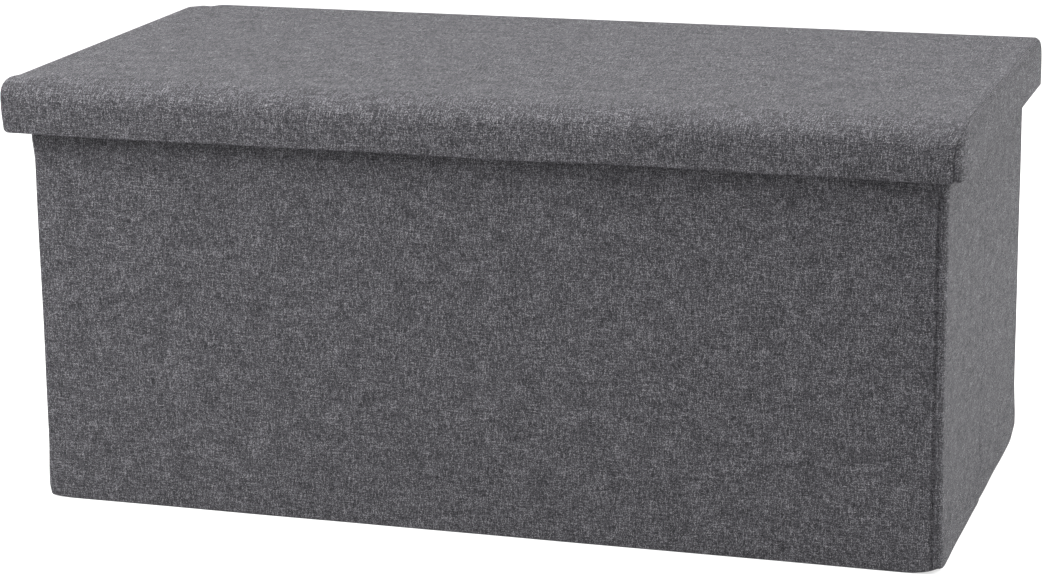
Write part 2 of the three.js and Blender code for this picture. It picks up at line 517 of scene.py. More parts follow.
def lining_material():
    """Black spun-bonded lining with its embossed grid of small welds"""
    weld_pitch = 0.0016
    n = Nodes("non-woven lining")
    u, v = n.weave_coordinates()
    across = n.math("SINE", n.times(u, math.tau / weld_pitch))
    along = n.math("SINE", n.times(v, math.tau / weld_pitch))
    dots = n.math("SMOOTH_MIN", n.times(across, along), 0.35, 0.2)
    fibres = n.noise(n.stretched(u, v, 1400.0, 1400.0), detail=3.0)
    mottle = n.noise(n.stretched(u, v, 60.0, 60.0), detail=3.0)
    shade = n.weighted((0.5, 0.0, 1.0), (fibres, 0.5, 0.9), (mottle, 0.5, 0.6), (dots, 0.0, 0.12))
    colour = n.ramp(shade, [
        (0.10, (0.0065, 0.0065, 0.0075)),
        (0.55, (0.0160, 0.0160, 0.0175)),
        (1.00, (0.0480, 0.0480, 0.0510)),
    ])
    shader = n.shader.inputs
    n.put(shader["Base Color"], colour)
    n.put(shader["Normal"], n.bump(n.math("ADD", dots, fibres), 0.00012, 0.7))
    n.put(shader["Roughness"], n.math("ADD", 0.58, n.times(mottle, 0.25)))
    shader["Specular IOR Level"].default_value = 0.35
    shader["Sheen Weight"].default_value = 0.12
    return n.material


def hardboard_material():
    """Brown pressed fibre board with a mottled face and fine flecks"""
    n = Nodes("hardboard")
    place = n.object_coordinates()
    flecks = n.noise(place, scale=650.0, detail=3.0, roughness=0.7)
    cloud = n.noise(place, scale=16.0, detail=2.0)
    shade = n.weighted((0.5, 0.0, 1.0), (flecks, 0.5, 1.2), (cloud, 0.5, 0.5))
    colour = n.ramp(shade, [
        (0.15, (0.110, 0.062, 0.032)),
        (0.55, (0.270, 0.165, 0.085)),
        (0.95, (0.430, 0.290, 0.170)),
    ])
    shader = n.shader.inputs
    n.put(shader["Base Color"], colour)
    n.put(shader["Normal"], n.bump(flecks, 0.0002, 0.6))
    n.put(shader["Roughness"], n.math("ADD", 0.55, n.times(flecks, 0.3)))
    return n.material


def foam_material():
    """Cream open-cell foam with fine pores"""
    n = Nodes("foam")
    place = n.object_coordinates()
    pores = n.tree.nodes.new("ShaderNodeTexVoronoi")
    n.put(pores.inputs["Vector"], place)
    pores.inputs["Scale"].default_value = 900.0
    depth = n.math("SMOOTH_MIN", pores.outputs["Distance"], 0.5, 0.2)
    ageing = n.noise(place, scale=9.0, detail=2.0)
    # The pores are darker in colour where they dip: painted shade in the hollows, on top of the bump.
    shade = n.weighted((0.35, 0.0, 1.0), (depth, 0.3, 0.9), (ageing, 0.5, 0.5))
    colour = n.ramp(shade, [
        (0.0, (0.45, 0.38, 0.24)),
        (0.6, (0.74, 0.68, 0.52)),
        (1.0, (0.84, 0.80, 0.68)),
    ])
    shader = n.shader.inputs
    n.put(shader["Base Color"], colour)
    n.put(shader["Normal"], n.bump(depth, 0.0005, 0.8))
    n.put(shader["Roughness"], n.math("ADD", 0.85, n.times(ageing, 0.15)))
    return n.material


def thread_material():
    """Dark twisted sewing thread"""
    n = Nodes("sewing thread")
    u, v = n.weave_coordinates()
    twist = n.math("SINE", n.times(n.math("ADD", u, v), 7000.0))
    # The twist makes the colour light on each ridge and dark in each groove: painted highlight and painted
    # shade, on top of the bump.
    shade = n.weighted((0.5, 0.0, 1.0), (twist, 0.0, 0.35))
    shader = n.shader.inputs
    n.put(shader["Base Color"], n.ramp(shade, [(0.0, (0.018, 0.018, 0.022)), (1.0, (0.085, 0.083, 0.095))]))
    n.put(shader["Normal"], n.bump(twist, 0.00008, 0.8))
    n.put(shader["Roughness"], n.math("ADD", 0.5, n.times(twist, 0.06)))
    shader["Sheen Weight"].default_value = 0.2
    return n.material


def floor_material():
    """Plain pale studio floor, with the faintest unevenness"""
    n = Nodes("studio floor")
    cloud = n.noise(n.object_coordinates(), scale=1.5, detail=2.0)
    shader = n.shader.inputs
    n.put(shader["Base Color"], n.ramp(cloud, [(0.0, (0.35, 0.35, 0.35)), (1.0, (0.38, 0.38, 0.38))]))
    n.put(shader["Roughness"], n.math("ADD", 0.85, n.times(cloud, 0.1)))
    shader["Specular IOR Level"].default_value = 0.1
    shader["Emission Color"].default_value = (1, 1, 1, 1)
    shader["Emission Strength"].default_value = 0.66
    return n.material


MELANGE = melange_material()
NON_WOVEN = lining_material()
HARDBOARD = hardboard_material()
FOAM = foam_material()
THREAD = thread_material()


# ---- The body's soft shape: how far its cloth stands off the flat outer planes

def side_bulge(x, y, z):
    """Outwards on the short sides: a flare under the lid, a full foot, and the crease drawn in"""
    flare = np.where(x < 0, SIDE_FLARES[-1], SIDE_FLARES[1]) * rising(z, start=0.288, over=0.026)
    foot = SIDE_FOOT * rising(z, start=0, over=0.010) * (1 - rising(z, start=0.016, over=0.040))
    crease = SIDE_HOLLOW * (1 - np.abs(y) / HALF_DEPTH) + CREASE_DIP * bell(y, CREASE_WIDTH)
    at_heel = np.where((x > 0) & (y < 0), bell(y, HEEL_WIDTH), 0.0)
    heel = HEEL * at_heel * (1 - rising(z, start=0.010, over=0.030))
    uneven = 0.00022 * soft_waves(y, z, seed=11)
    return flare + foot + heel - crease + uneven


def face_bulge(x, z, seed):
    """Outwards on the front and the back: a slight flare under the lid and gentle unevenness"""
    flare = FACE_FLARE * rising(z, start=0.292, over=0.025)
    foot = FACE_FOOT * rising(z, start=0, over=0.008) * (1 - rising(z, start=0.012, over=0.030))
    uneven = 0.00024 * soft_waves(x, z, seed, shortest=0.09, longest=0.30)
    return flare + foot + uneven


def quarter_round(share, steepest):
    """0 to nearly 1 as share goes from 0 to 1, like the edge of a circle. steepest is below 1."""
    return 1 - np.sqrt(1 - steepest * share ** 2)


def body_relief(points, normals):
    """Moves points of the body's outer faces outwards by the soft shape, and lifts the foot at the corners"""
    x, y, z = points[..., 0], points[..., 1], points[..., 2]
    facing = FACE_FULLNESS + np.where(y < 0, face_bulge(x, z, 21), face_bulge(x, z, 22))
    moved = points.copy()
    moved[..., 0] += normals[..., 0] * side_bulge(x, y, z)
    moved[..., 1] += normals[..., 1] * facing
    into_x = np.clip((np.abs(x) - HALF_LENGTH + FOOT_CORNER) / FOOT_CORNER, 0, 1)
    into_y = np.clip((np.abs(y) - HALF_DEPTH + FOOT_CORNER) / FOOT_CORNER, 0, 1)
    corner = quarter_round(np.minimum(into_x, into_y), steepest=0.96)
    lift = np.where(x < 0, FOOT_LIFTS[-1], FOOT_LIFTS[1])
    moved[..., 2] += lift * corner * np.clip(1 - z / FOOT_HEIGHT, 0, 1)
    return moved


# ---- Wall panels

class Wall:
    """Where one wall panel stands: s runs along it to the right as seen from outside, d runs inwards"""

    def __init__(self, prefix, body, middle, along, length):
        self.prefix = prefix
        self.body = body
        self.along = np.array(along, float)
        self.inward = np.array((-along[1], along[0], 0.0))
        self.middle = np.array((*middle, 0.0))
        self.length = length

    def place(self, s, d, z):
        at = self.middle + s[..., None] * self.along + d[..., None] * self.inward
        return at + z[..., None] * UP

    def turn(self, s, d):
        return s[..., None] * self.along + d[..., None] * self.inward


def panel_ring(length, thickness, radii, inset, flats):
    """Closed outline (s, d, normal s, normal d) of a panel's plan, drawn inwards by inset. radii are the
    outer left, outer right and inner corner radii, and flats the stations along the faces."""
    room = thickness / 2 - inset
    inner = min(max(radii[2] - inset, 0.0), room)
    left, right = (min(max(r - inset, 0.0), 2 * room - inner) for r in radii[:2])
    end = length / 2 - inset
    outer = np.clip(flats, -end + left, end - right)
    back = np.clip(flats[::-1], -end + inner, end - inner)
    sine, cosine = np.sin(arc(ROUND_POINTS)), np.cos(arc(ROUND_POINTS))
    side = np.linspace(0, 1, END_POINTS + 2)[1:-1]
    s, d, ns, nd = [], [], [], []

    def add(a, b, na, nb):
        s.append(a)
        d.append(b)
        ns.append(np.broadcast_to(na, a.shape))
        nd.append(np.broadcast_to(nb, a.shape))

    def add_end(sign, outer_radius):
        low, high = inset + outer_radius, thickness - inset - inner
        depth = low + (high - low) * (side if sign > 0 else side[::-1])
        add(np.full(depth.shape, sign * end), depth, float(sign), 0.0)

    add(outer, np.full(outer.shape, inset), 0.0, -1.0)
    add(end - right + right * sine, inset + right - right * cosine, sine, -cosine)
    add_end(1, right)
    low = thickness - inset - inner
    add(end - inner + inner * cosine, low + inner * sine, cosine, sine)
    add(back, np.full(back.shape, thickness - inset), 0.0, 1.0)
    add(-end + inner - inner * sine, low + inner * cosine, -sine, cosine)
    add_end(-1, left)
    add(-end + left - left * cosine, inset + left - left * sine, -cosine, -sine)
    return [np.concatenate(part) for part in (s, d, ns, nd)]


def panel_levels(top, thickness, low_edge, high_edge, dense):
    """Heights of a panel's rings with how far each is drawn in: closed flat below and above"""
    turn = arc(5)
    levels = [(0.0, thickness / 2)]
    levels += [(low_edge * (1 - math.cos(a)), low_edge * (1 - math.sin(a))) for a in turn]
    levels += [(z, 0.0) for z in stations(low_edge, top - high_edge, 0.008, dense)[1:-1]]
    levels += [(top - high_edge * (1 - math.sin(a)), high_edge * (1 - math.cos(a))) for a in turn]
    levels += [(top, thickness / 2)]
    return levels


def groove(distance, width, depth):
    """Depth of a V with soft shoulders at this distance from its middle"""
    return depth * np.exp(-np.abs(distance / width) ** 1.6)


def wall_cover(wall, radii, seam):
    """The melange cover of one wall, from the hem on the floor to the return inside the rim"""
    length = wall.length
    seam_s = length / 2 - SEAM_INSET
    near_seam = [(seam_s - 0.006, seam_s + 0.0012, 0.0004)] if seam else []
    flats = stations(-length / 2 + radii[0], length / 2 - radii[1], 0.008, near_seam)
    curved = [(0.0, 0.04, 0.004), (0.285, 0.33, 0.004)]
    lining_edges = [(LINING_BOTTOM, LINING_BOTTOM + 0.002, 0.002), (LINING_TOP - 0.002, LINING_TOP, 0.002)]
    levels = panel_levels(WALL_TOP, WALL, HEM_EDGE, TOP_EDGE, curved + lining_edges)
    rows, coordinates = [], []
    for z, inset in levels:
        s, d, ns, nd = panel_ring(length, WALL, radii, inset, flats)
        depth = d.copy()
        if seam:
            outer = nd < -0.5
            depth += outer * groove(s - seam_s, width=0.0012, depth=SEAM_DEPTH)
            depth -= outer * groove(s - seam_s + 0.0026, width=0.0016, depth=SEAM_LIP)
        height = np.full(s.shape, z)
        bulging = (nd < 0.2) & (inset < WALL / 2)
        rows.append(body_relief(wall.place(s, depth, height), wall.turn(ns, nd) * bulging[:, None]))
        ring = np.stack([s, d], 1)
        round_it = s[0] + distance_along(np.concatenate([ring, ring[:1]]))
        rise = z + (inset if z > WALL_TOP / 2 else -inset)
        coordinates.append(np.stack([round_it, np.full(round_it.shape, rise)], 1))
    points = np.stack(rows)
    uvs = np.stack(coordinates) + wall_offset(wall)
    covered = lining_window(levels, flats, points.shape[1])
    piece = grid_object(f"{wall.prefix}_fabric", points, uvs, MELANGE, wrap=True, keep=~covered)
    weld(piece)
    thicken(piece, CLOTH)
    stand_in(piece, wall.body, "melange_cloth", f"{wall.prefix}_cover", f"{wall.prefix}_bottom_hem")
    fold_with_walls(piece)


def wall_offset(wall):
    """Where on its bolt each panel was cut, so that no two show the same yarns"""
    index = [w.prefix for w in WALLS].index(wall.prefix)
    return np.array((1.37 * index, 0.71 * index))


def lining_window(levels, flats, columns):
    """The faces of the cover's inner side that the lining takes the place of"""
    first = len(flats) + 2 * ROUND_POINTS + END_POINTS
    margin = 0.001
    inner = np.zeros(columns, bool)
    inner[first:first + len(flats) - 1] = True
    heights = np.array([z for z, _ in levels])
    rows = (heights[:-1] >= LINING_BOTTOM - margin) & (heights[1:] <= LINING_TOP + margin)
    return rows[:, None] & inner[None, :]


def fold_with_walls(piece):
    """Gives the piece a copy of its mesh, its own"""
    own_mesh(piece)


def wall_lining(wall):
    """Non-woven lining on the inner face, sewn along its edges and slightly drawn between them"""
    low, high = LINING_BOTTOM - 0.001, LINING_TOP + 0.005
    half = wall.length / 2 - 0.0011
    s = stations(-half, half, 0.010)
    z = stations(low, high, 0.010)
    across, up = np.meshgrid(s, z)
    edge = np.minimum(np.minimum(half - np.abs(across), up - low), high - up)
    drawn = rising(edge, start=0, over=0.008)
    waves = soft_waves(across, up, seed=len(wall.prefix), shortest=0.03, longest=0.12)
    sag = LINING_SAG * drawn * (1 + 0.5 * waves)
    under_cover = 1 - rising(np.minimum(up - low, high - up), start=0.005, over=0.002)
    tucked = 1.3 * CLOTH * under_cover
    points = wall.place(across, WALL - 0.00002 - sag - tucked, up)[:, ::-1]
    uvs = np.stack([across, up], -1)[:, ::-1]
    piece = grid_object(f"{wall.prefix}_inner_lining", points, uvs, NON_WOVEN)
    thicken(piece, LINING)
    stand_in(piece, wall.body, "non_woven_lining", f"{wall.prefix}_lining")
    fold_with_walls(piece)


SIDE_LENGTH = SIDE_END - CREASE_GAP
SIDE_MIDDLE = (SIDE_END + CREASE_GAP) / 2
WALLS = [
    Wall("front_wall", "front", (0, -HALF_DEPTH), (1, 0, 0), 2 * HALF_LENGTH),
    Wall("back_wall", "back_and_base", (0, HALF_DEPTH), (-1, 0, 0), 2 * HALF_LENGTH),
    Wall("right_front_half", "right_front", (HALF_LENGTH, -SIDE_MIDDLE), (0, 1, 0), SIDE_LENGTH),
    Wall("right_rear_half", "right_rear", (HALF_LENGTH, SIDE_MIDDLE), (0, 1, 0), SIDE_LENGTH),
    Wall("left_front_half", "left_front", (-HALF_LENGTH, -SIDE_MIDDLE), (0, -1, 0), SIDE_LENGTH),
    Wall("left_rear_half", "left_rear", (-HALF_LENGTH, SIDE_MIDDLE), (0, -1, 0), SIDE_LENGTH),
]


def build_walls():
    """Every wall's cover and lining. Only the two long walls wrap round the corners and have a seam there."""
    for wall in WALLS:
        wraps_corners = wall.prefix in ("front_wall", "back_wall")
        if wraps_corners:
            radii = (PLAIN_CORNER, SEAM_CORNER, HINGE_EDGE)
        elif wall.prefix in ("right_front_half", "left_rear_half"):
            radii = (HINGE_EDGE, CREASE_EDGE, HINGE_EDGE)
        else:
            radii = (CREASE_EDGE, HINGE_EDGE, HINGE_EDGE)
        wall_cover(wall, radii, seam=wraps_corners)
        wall_lining(wall)


# ---- Cloth hinges

def hinge_strip(name, first, second, centre, inward, recess, gap, reach):
    """A strip of cover cloth across the joint of two panels, the first body's panel behind the second's"""
    centre, along, inward = (np.array((*v, 0.0)) for v in (centre, (0, -1), inward))
    turning = np.linspace(-gap / 2, gap / 2, 15)
    across = np.concatenate([[-reach, -reach / 2], turning, [reach / 2, reach]])
    z = stations(0.0065, WALL_TOP - 0.002, 0.010)
    a, up = np.meshgrid(across, z)
    flat = centre + a[..., None] * along + up[..., None] * UP
    normals = np.broadcast_to(-inward, flat.shape)
    points = body_relief(flat, normals) + recess * inward
    outward_first = np.cross(along, UP) @ -inward > 0
    if not outward_first:
        points, a, up = points[:, ::-1], a[:, ::-1], up[:, ::-1]
    other_cut = 5.1
    piece = grid_object(name, points, np.stack([a, up], -1) + other_cut, MELANGE)
    thicken(piece, STRIP_CLOTH)
    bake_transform(piece, first, second, start=centre - gap / 2 * along, end=centre + gap / 2 * along)


def build_hinges():
    """A strip over each fold line that is closed in the model. The left front corner is open."""
    corner_gap = max(HINGE_Y - SIDE_END, 0.0003) + 0.0002
    crease_gap = 2 * CREASE_GAP + 0.0003
    joint_y = (HINGE_Y + SIDE_END) / 2
    for side, sign in (("right", 1), ("left", -1)):
        inward = (-sign, 0)
        x = sign * HALF_LENGTH
        hinge_strip(
            f"{side}_rear_corner_strip", "back_and_base", f"{side}_rear",
            (x, joint_y), inward, CORNER_RECESS, corner_gap, CORNER_REACH,
        )
        hinge_strip(
            f"{side}_crease_strip", f"{side}_rear", f"{side}_front",
            (x, 0), inward, CREASE_RECESS, crease_gap, CREASE_REACH,
        )
    hinge_strip(
        "right_front_corner_strip", "right_front", "front",
        (HALF_LENGTH, -joint_y), (-1, 0), CORNER_RECESS, corner_gap, CORNER_REACH,
    )


# ---- Lid

def lid_section():
    """Points (y, z) of the lid's cross-section from the front hem's return over the top to the back's, with
    their normals and the distance along it"""
    turn = arc(11)
    edge = HEM_ROUND
    front = [(-LID_Y + HEM_RETURN, LID_HEM + 0.0003), (-LID_Y + 0.6 * HEM_RETURN, LID_HEM + 0.0001)]
    front += [(-LID_Y + edge - edge * math.sin(a), LID_HEM + edge - edge * math.cos(a)) for a in arc(5)]
    front += [(-LID_Y, z) for z in np.linspace(LID_HEM + edge, LID_TOP - ROLL, 7)[1:-1]]
    skirt = np.array(front)
    height = skirt[:, 1] - LID_HEM
    full = rising(height, start=0, over=0.016) * (1 - rising(height, start=0.020, over=0.020))
    skirt[:, 0] -= SKIRT_FULLNESS * full

    def roll(depth):
        return np.stack([depth * (1 - np.cos(turn)) - LID_Y, LID_TOP - ROLL * (1 - np.sin(turn))], 1)

    flat = stations(FRONT_ROLL_DEPTH - LID_Y, LID_Y - ROLL, 0.008)[1:-1]
    top = np.stack([flat, np.full(flat.shape, LID_TOP)], 1)
    front_half = np.concatenate([skirt, roll(FRONT_ROLL_DEPTH)])
    back_half = np.concatenate([roll(ROLL)[::-1], skirt[::-1]]) * (-1, 1)
    whole = np.concatenate([front_half, top, back_half])
    run = np.gradient(whole, axis=0)
    normals = np.stack([-run[:, 1], run[:, 0]], 1)
    normals /= np.linalg.norm(normals, axis=1)[:, None]
    return whole, normals, distance_along(whole)


SECTION, SECTION_NORMAL, SECTION_LENGTH = lid_section()
SECTION_V = SECTION_LENGTH - SECTION_LENGTH[-1] / 2
HEM_POINTS = 6
SKIRT_POINTS = 6
SECTION_UP = SECTION_NORMAL[:, 1].clip(0, 1)


def end_fillets(sign):
    """The radius of one end's rounded edge at each section point, larger where the section stands upright"""
    upright = smoothstep(np.abs(SECTION_NORMAL[:, 0]))
    return TOP_FILLETS[sign] + (CORNER_FILLETS[sign] - TOP_FILLETS[sign]) * upright


FILLETS = {sign: end_fillets(sign) for sign in (-1, 1)}


def lid_point(x, inset, lift=0.0):
    """Surface points at x for the whole section, drawn inwards by inset and raised by lift"""
    points = np.zeros((len(SECTION), 3))
    points[:, 0] = x
    points[:, 1:] = SECTION - SECTION_NORMAL * np.reshape(inset - lift, (-1, 1))
    return points


def left_end_drop(x, y):
    """How far the top sinks at the left end: the edge slopes down, and a groove runs beside it"""
    back = np.clip((y + HALF_DEPTH) / (2 * HALF_DEPTH), 0, 1)
    from_end = x + LID_X
    slope = (0.0018 + 0.0014 * back) * (1 - rising(from_end, start=0, over=0.030))
    groove_place = 0.017 + 0.008 * back
    groove_depth = 0.0015 * (0.35 + 0.65 * back)
    return slope + groove_depth * bell(from_end - groove_place, width=0.0065)


def lid_soft_shape(points, upness):
    """How the used lid differs from its plain section. upness is 1 where the surface faces up."""
    x, y, z = points[..., 0], points[..., 1], points[..., 2]
    moved = points.copy()

    # The left end leans outwards, and the right front corner is drawn in.
    height = np.clip((z - LID_HEM) / (LID_TOP - LID_HEM), 0, 1)
    moved[..., 0] -= END_LEAN * height * rising(-x, start=LID_X - 0.070, over=0.060)
    to_front = np.clip((-y - LID_Y + CORNER_DRAW_REACH) / CORNER_DRAW_REACH, 0, 1)
    moved[..., 0] -= CORNER_DRAW * to_front ** 3 * rising(x, start=LID_X - 0.050, over=0.045)
    moved[..., 2] -= left_end_drop(x, y) * rising(z, start=LID_TOP - ROLL, over=ROLL)

    # The hem rounds upwards at the four corners and is a little uneven between them.
    into_x = np.clip((np.abs(x) - LID_X + HEM_CORNER) / HEM_CORNER, 0, 1)
    into_y = np.clip((np.abs(y) - LID_Y + HEM_CORNER) / HEM_CORNER, 0, 1)
    low = np.clip(1 - (z - LID_HEM) / HEM_REACH, 0, 1)
    moved[..., 2] += HEM_CORNER * quarter_round(np.minimum(into_x, into_y), steepest=0.98) * low
    moved[..., 2] += HEM_WAVE * low * soft_waves(x, y, seed=31, shortest=0.12, longest=0.4)

    # Towards the left end the front roll is fuller than a quarter circle.
    into_roll = np.clip((-y - LID_Y + FRONT_ROLL_DEPTH) / FRONT_ROLL_DEPTH, 0, 1)
    up_roll = np.clip((z - LID_TOP + ROLL) / ROLL, 0, 1)
    angle = np.arctan2(up_roll, into_roll)
    squared = SQUARED_ROLL * np.sin(2 * angle) ** 2 * np.hypot(up_roll, into_roll)
    squared = squared * rising(-x, start=LID_X - 0.060, over=0.060)
    moved[..., 1] -= squared * np.cos(angle)
    moved[..., 2] += squared * np.sin(angle)

    uneven = soft_waves(x, y + z, seed=32, shortest=0.10, longest=0.30)
    moved[..., 1] += SKIRT_WAVE * np.sign(y) * (1 - upness) * uneven
    return moved


def pressed_sheet(grid, free):
    """The grid after a cloth simulation under pressure, gravity off. Only where free is 1 can it move."""
    coordinates = np.zeros((*grid.shape[:2], 2))
    sheet = grid_object("lid padding simulation", grid[::-1], coordinates, MELANGE)
    pins = sheet.vertex_groups.new(name="sewn and stretched edges")
    for index, value in enumerate(1 - free[::-1].ravel()):
        pins.add([index], float(value), "REPLACE")
    cloth = sheet.modifiers.new("seat cloth", "CLOTH")
    settings = cloth.settings
    settings.quality = 6
    settings.mass = 0.25
    settings.tension_stiffness = 18
    settings.compression_stiffness = 18
    settings.bending_stiffness = 1.5
    settings.air_damping = 4
    settings.use_pressure = True
    settings.uniform_pressure_force = 4
    settings.vertex_group_mass = pins.name
    settings.effector_weights.gravity = 0
    cloth.collision_settings.use_collision = False
    cloth.point_cache.frame_start = 1
    cloth.point_cache.frame_end = PRESSURE_FRAMES
    for number in range(1, PRESSURE_FRAMES + 1):
        bpy.context.scene.frame_set(number)
    settled = sheet.evaluated_get(bpy.context.evaluated_depsgraph_get())
    after = np.array([v.co for v in settled.data.vertices]).reshape(grid.shape)[::-1]
    bpy.context.scene.frame_set(1)
    bpy.data.objects.remove(sheet)
    return after


def padded_rise():
    """How far the padding lifts the seat cloth: (x stations, section places, rise). The shape comes from a
    cloth simulation of the taut cover under pressure, scaled down to the crown of the finished seat."""
    x = np.linspace(-LID_X + TOP_FILLETS[1], LID_X - TOP_FILLETS[1], 89)
    skirt = HEM_POINTS + 1
    picked = np.unique(np.round(np.linspace(skirt, len(SECTION) - 1 - skirt, 61)).astype(int))
    grid = np.stack([lid_point(value, 0.0)[picked] for value in x])
    free = (grid[..., 2] > LID_TOP - ROLL * 0.5).astype(float)
    free[[0, -1], :] = 0
    lifted = np.maximum(pressed_sheet(grid, free)[..., 2] - grid[..., 2], 0.0)
    middle = lifted[len(x) // 2, len(picked) // 2]
    print(f"seat cloth lifted in the simulation: middle {middle:.5f} m, most {lifted.max():.5f} m")
    return x, SECTION_LENGTH[picked], CROWN * lifted / lifted.max()


def spread(x_from, along_from, values, x_to, along_to):
    """values of one grid read at the places of another, and 0 outside it"""
    rows = np.stack([np.interp(along_to, along_from, row, left=0.0, right=0.0) for row in values])
    columns = [
        np.interp(places, x_from, column, left=0.0, right=0.0) for places, column in zip(x_to.T, rows.T)
    ]
    return np.stack(columns, 1)


def end_outline(sign, angle, sink=0.0):
    """The rounded edge of one end at this angle round its fillet, sunk under the surface by sink"""
    fillet = FILLETS[sign]
    x = LID_X - fillet + (fillet - sink) * math.sin(angle)
    return lid_point(x * sign, fillet - (fillet - sink) * math.cos(angle))


def seam_lip(sign, side):
    """The rows of one end's rounded edge that dip into the seam, on the top's side (-1) or the skirt's (1)"""
    width = SEAM_HALF_WIDTH / TOP_FILLETS[sign]
    share_and_sink = [(1.0, 0.0), (0.45, 0.0002), (0.1, 0.0008), (0.02, 0.0018)]
    return [end_outline(sign, SEAM_ANGLE + side * width * share, sink) for share, sink in share_and_sink]


def lid_fabric():
    """The cover of the top, the front and the back, between the two end seams"""
    shares = stations(-1.0, 1.0, 0.021, [(-1.0, -0.85, 0.007)])
    reaches = {sign: LID_X - FILLETS[sign] for sign in (-1, 1)}
    xs = [share * reaches[1 if share > 0 else -1] for share in shares]
    x_rise, along_rise, rise = padded_rise()
    lifts = spread(x_rise, along_rise, rise, np.stack(xs), SECTION_LENGTH)
    rows = [lid_point(x, 0.0, lift) for x, lift in zip(xs, lifts)]
    edge_angles = np.linspace(0, SEAM_ANGLE - SEAM_HALF_WIDTH / TOP_FILLETS[1], 6)[1:-1]
    left = [end_outline(-1, angle) for angle in edge_angles] + seam_lip(-1, -1)
    right = [end_outline(1, angle) for angle in edge_angles] + seam_lip(1, -1)
    points = np.stack(left[::-1] + rows + right)
    across = distance_along(points[:, len(SECTION) // 2])
    points = lid_soft_shape(points, np.broadcast_to(SECTION_UP, points.shape[:2]))
    uvs = np.stack(np.broadcast_arrays(across[:, None], SECTION_V[None, :]), -1)
    piece = grid_object("lid_seat_fabric", points[::-1], uvs[::-1], MELANGE)
    thicken(piece, CLOTH)
    stand_in(piece, "lid", "melange_cloth", "lid_cover")


def end_face(outline):
    """Rows of the flat part of the right end, from the hem up, inside the inner line of its rounded edge"""
    rows = SKIRT_POINTS
    top = outline[rows:len(outline) - rows]
    hem = outline[0, 2]
    skirt_height = outline[rows, 2] - hem
    grid = []
    for index in range(rows):
        line = top.copy()
        line[:, 2] = hem + (top[:, 2] - hem) * ((outline[index, 2] - hem) / skirt_height)
        line[0] = outline[index]
        line[-1] = outline[-1 - index]
        grid.append(line)
    face = np.stack(grid + [top])
    y, z = face[..., 1], face[..., 2]
    inner = rising(-np.abs(y), start=0.012 - LID_Y, over=0.05)
    inner = inner * rising(-z, start=0.004 - LID_TOP, over=0.012) * rising(z, start=LID_HEM, over=0.010)
    face[..., 0] += END_FULLNESS * inner
    inwards_and_down = [(HEM_ROUND * (1 - math.cos(a)), HEM_ROUND * math.sin(a)) for a in arc(5)[1:]]
    for reach in (0.5, 1.0):
        inwards_and_down.append((HEM_ROUND + reach * (HEM_RETURN - HEM_ROUND), HEM_ROUND - 0.0002 * reach))
    turned_in = [face[0] - (inwards, 0, down) for inwards, down in inwards_and_down]
    return np.concatenate([np.stack(turned_in[::-1]), face])


def end_skirt(side, sign):
    """One end piece: its rounded border from the seam, and the flat inside that border"""
    border = seam_lip(sign, 1)[::-1]
    width = SEAM_HALF_WIDTH / TOP_FILLETS[sign]
    border += [end_outline(sign, angle) for angle in np.linspace(SEAM_ANGLE + width, math.pi / 2, 7)[1:]]
    between_hems = slice(HEM_POINTS, len(SECTION) - HEM_POINTS)
    ring = np.stack(border)[:, between_hems]
    face = end_face(ring[-1] * (sign, 1, 1)) * (sign, 1, 1)
    ring = lid_soft_shape(ring, np.broadcast_to(SECTION_UP[between_hems], ring.shape[:2]))
    face = lid_soft_shape(face, 0.0)
    other_cut = (3.3, 2.7 + sign)
    seam_allowance = np.linspace(0.006, 0, len(ring))[:, None]
    ring_weave = np.stack([ring[..., 1], ring[..., 2] + seam_allowance], -1) + other_cut
    face_weave = face[..., 1:] + other_cut
    grids = [
        (ring[:, ::-sign], ring_weave[:, ::-sign]),
        (face[:, ::sign], face_weave[:, ::sign]),
    ]
    piece = grids_object(f"lid_{side}_end_fabric", grids, MELANGE)
    thicken(piece, CLOTH)
    stand_in(piece, "lid", "melange_cloth", f"lid_{side}_end_skirt")


def build_lid():
    lid_fabric()
    end_skirt("left", -1)
    end_skirt("right", 1)


# ---- Boards, foam and the cloth parts inside

def board_piece(node, trim, corner=BOARD_CORNER):
    """A stiffener with eased edges and arrises, cut short of the covers' rounded corners by trim"""
    low, high = (np.array(place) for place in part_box(node))
    size = high - low
    across = int(np.argmin(size))
    along = int(np.argmax(size))
    low[along] += trim
    high[along] -= trim
    order = [axis for axis in range(3) if axis != across] + [across]
    waist = (low[across] + high[across]) / 2
    ease = (BOARD_EASE, BOARD_EASE)
    piece = slab(f"{node}_panel", low[order], high[order], waist, ease, corner, HARDBOARD, step=0.05)
    points = np.array([v.co for v in piece.data.vertices])
    back = np.argsort(order)
    for vertex, point in zip(piece.data.vertices, points[:, back]):
        vertex.co = point
    if order == [0, 2, 1]:
        piece.data.flip_normals()
    stand_in(piece, body_of(frame["nodes"][node])[0], "hardboard", node)


def build_boards():
    for node in frame["nodes"]:
        if not node.endswith("_board"):
            continue
        if node.startswith(("front_wall", "back_wall")):
            board_piece(node, BOARD_TRIM)
        elif "rim" in node:
            board_piece(node, BOARD_ROUND - 0.0012)
        elif node == "lid_board":
            board_piece(node, 0.0, BOARD_ROUND)
        else:
            board_piece(node, 0.0)


def build_foam():
    """The foam under the seat cloth, sunk at the left end as the cloth is"""
    ease = Vector((0.0006, 0.0006, 0))
    foam = slab(
        "lid_foam", FOAM_LOW + ease, FOAM_HIGH - ease - Vector((0, 0, 0.0022)), waist=FOAM_LOW.z + 0.0012,
        reach=(0.0056, 0.0360), corner=BOARD_ROUND - 0.0014, material=FOAM,
    )
    for vertex in foam.data.vertices:
        raised = (vertex.co.z - FOAM_LOW.z) / (FOAM_HIGH.z - FOAM_LOW.z)
        vertex.co.z -= raised * float(left_end_drop(vertex.co.x, vertex.co.y))
    stand_in(foam, "lid", "foam", "lid_foam_pad")


def lining_piece(piece, node, body):
    """Puts a flat piece of non-woven lining in the place of its CAD node"""
    stand_in(piece, body, "non_woven_lining", node)


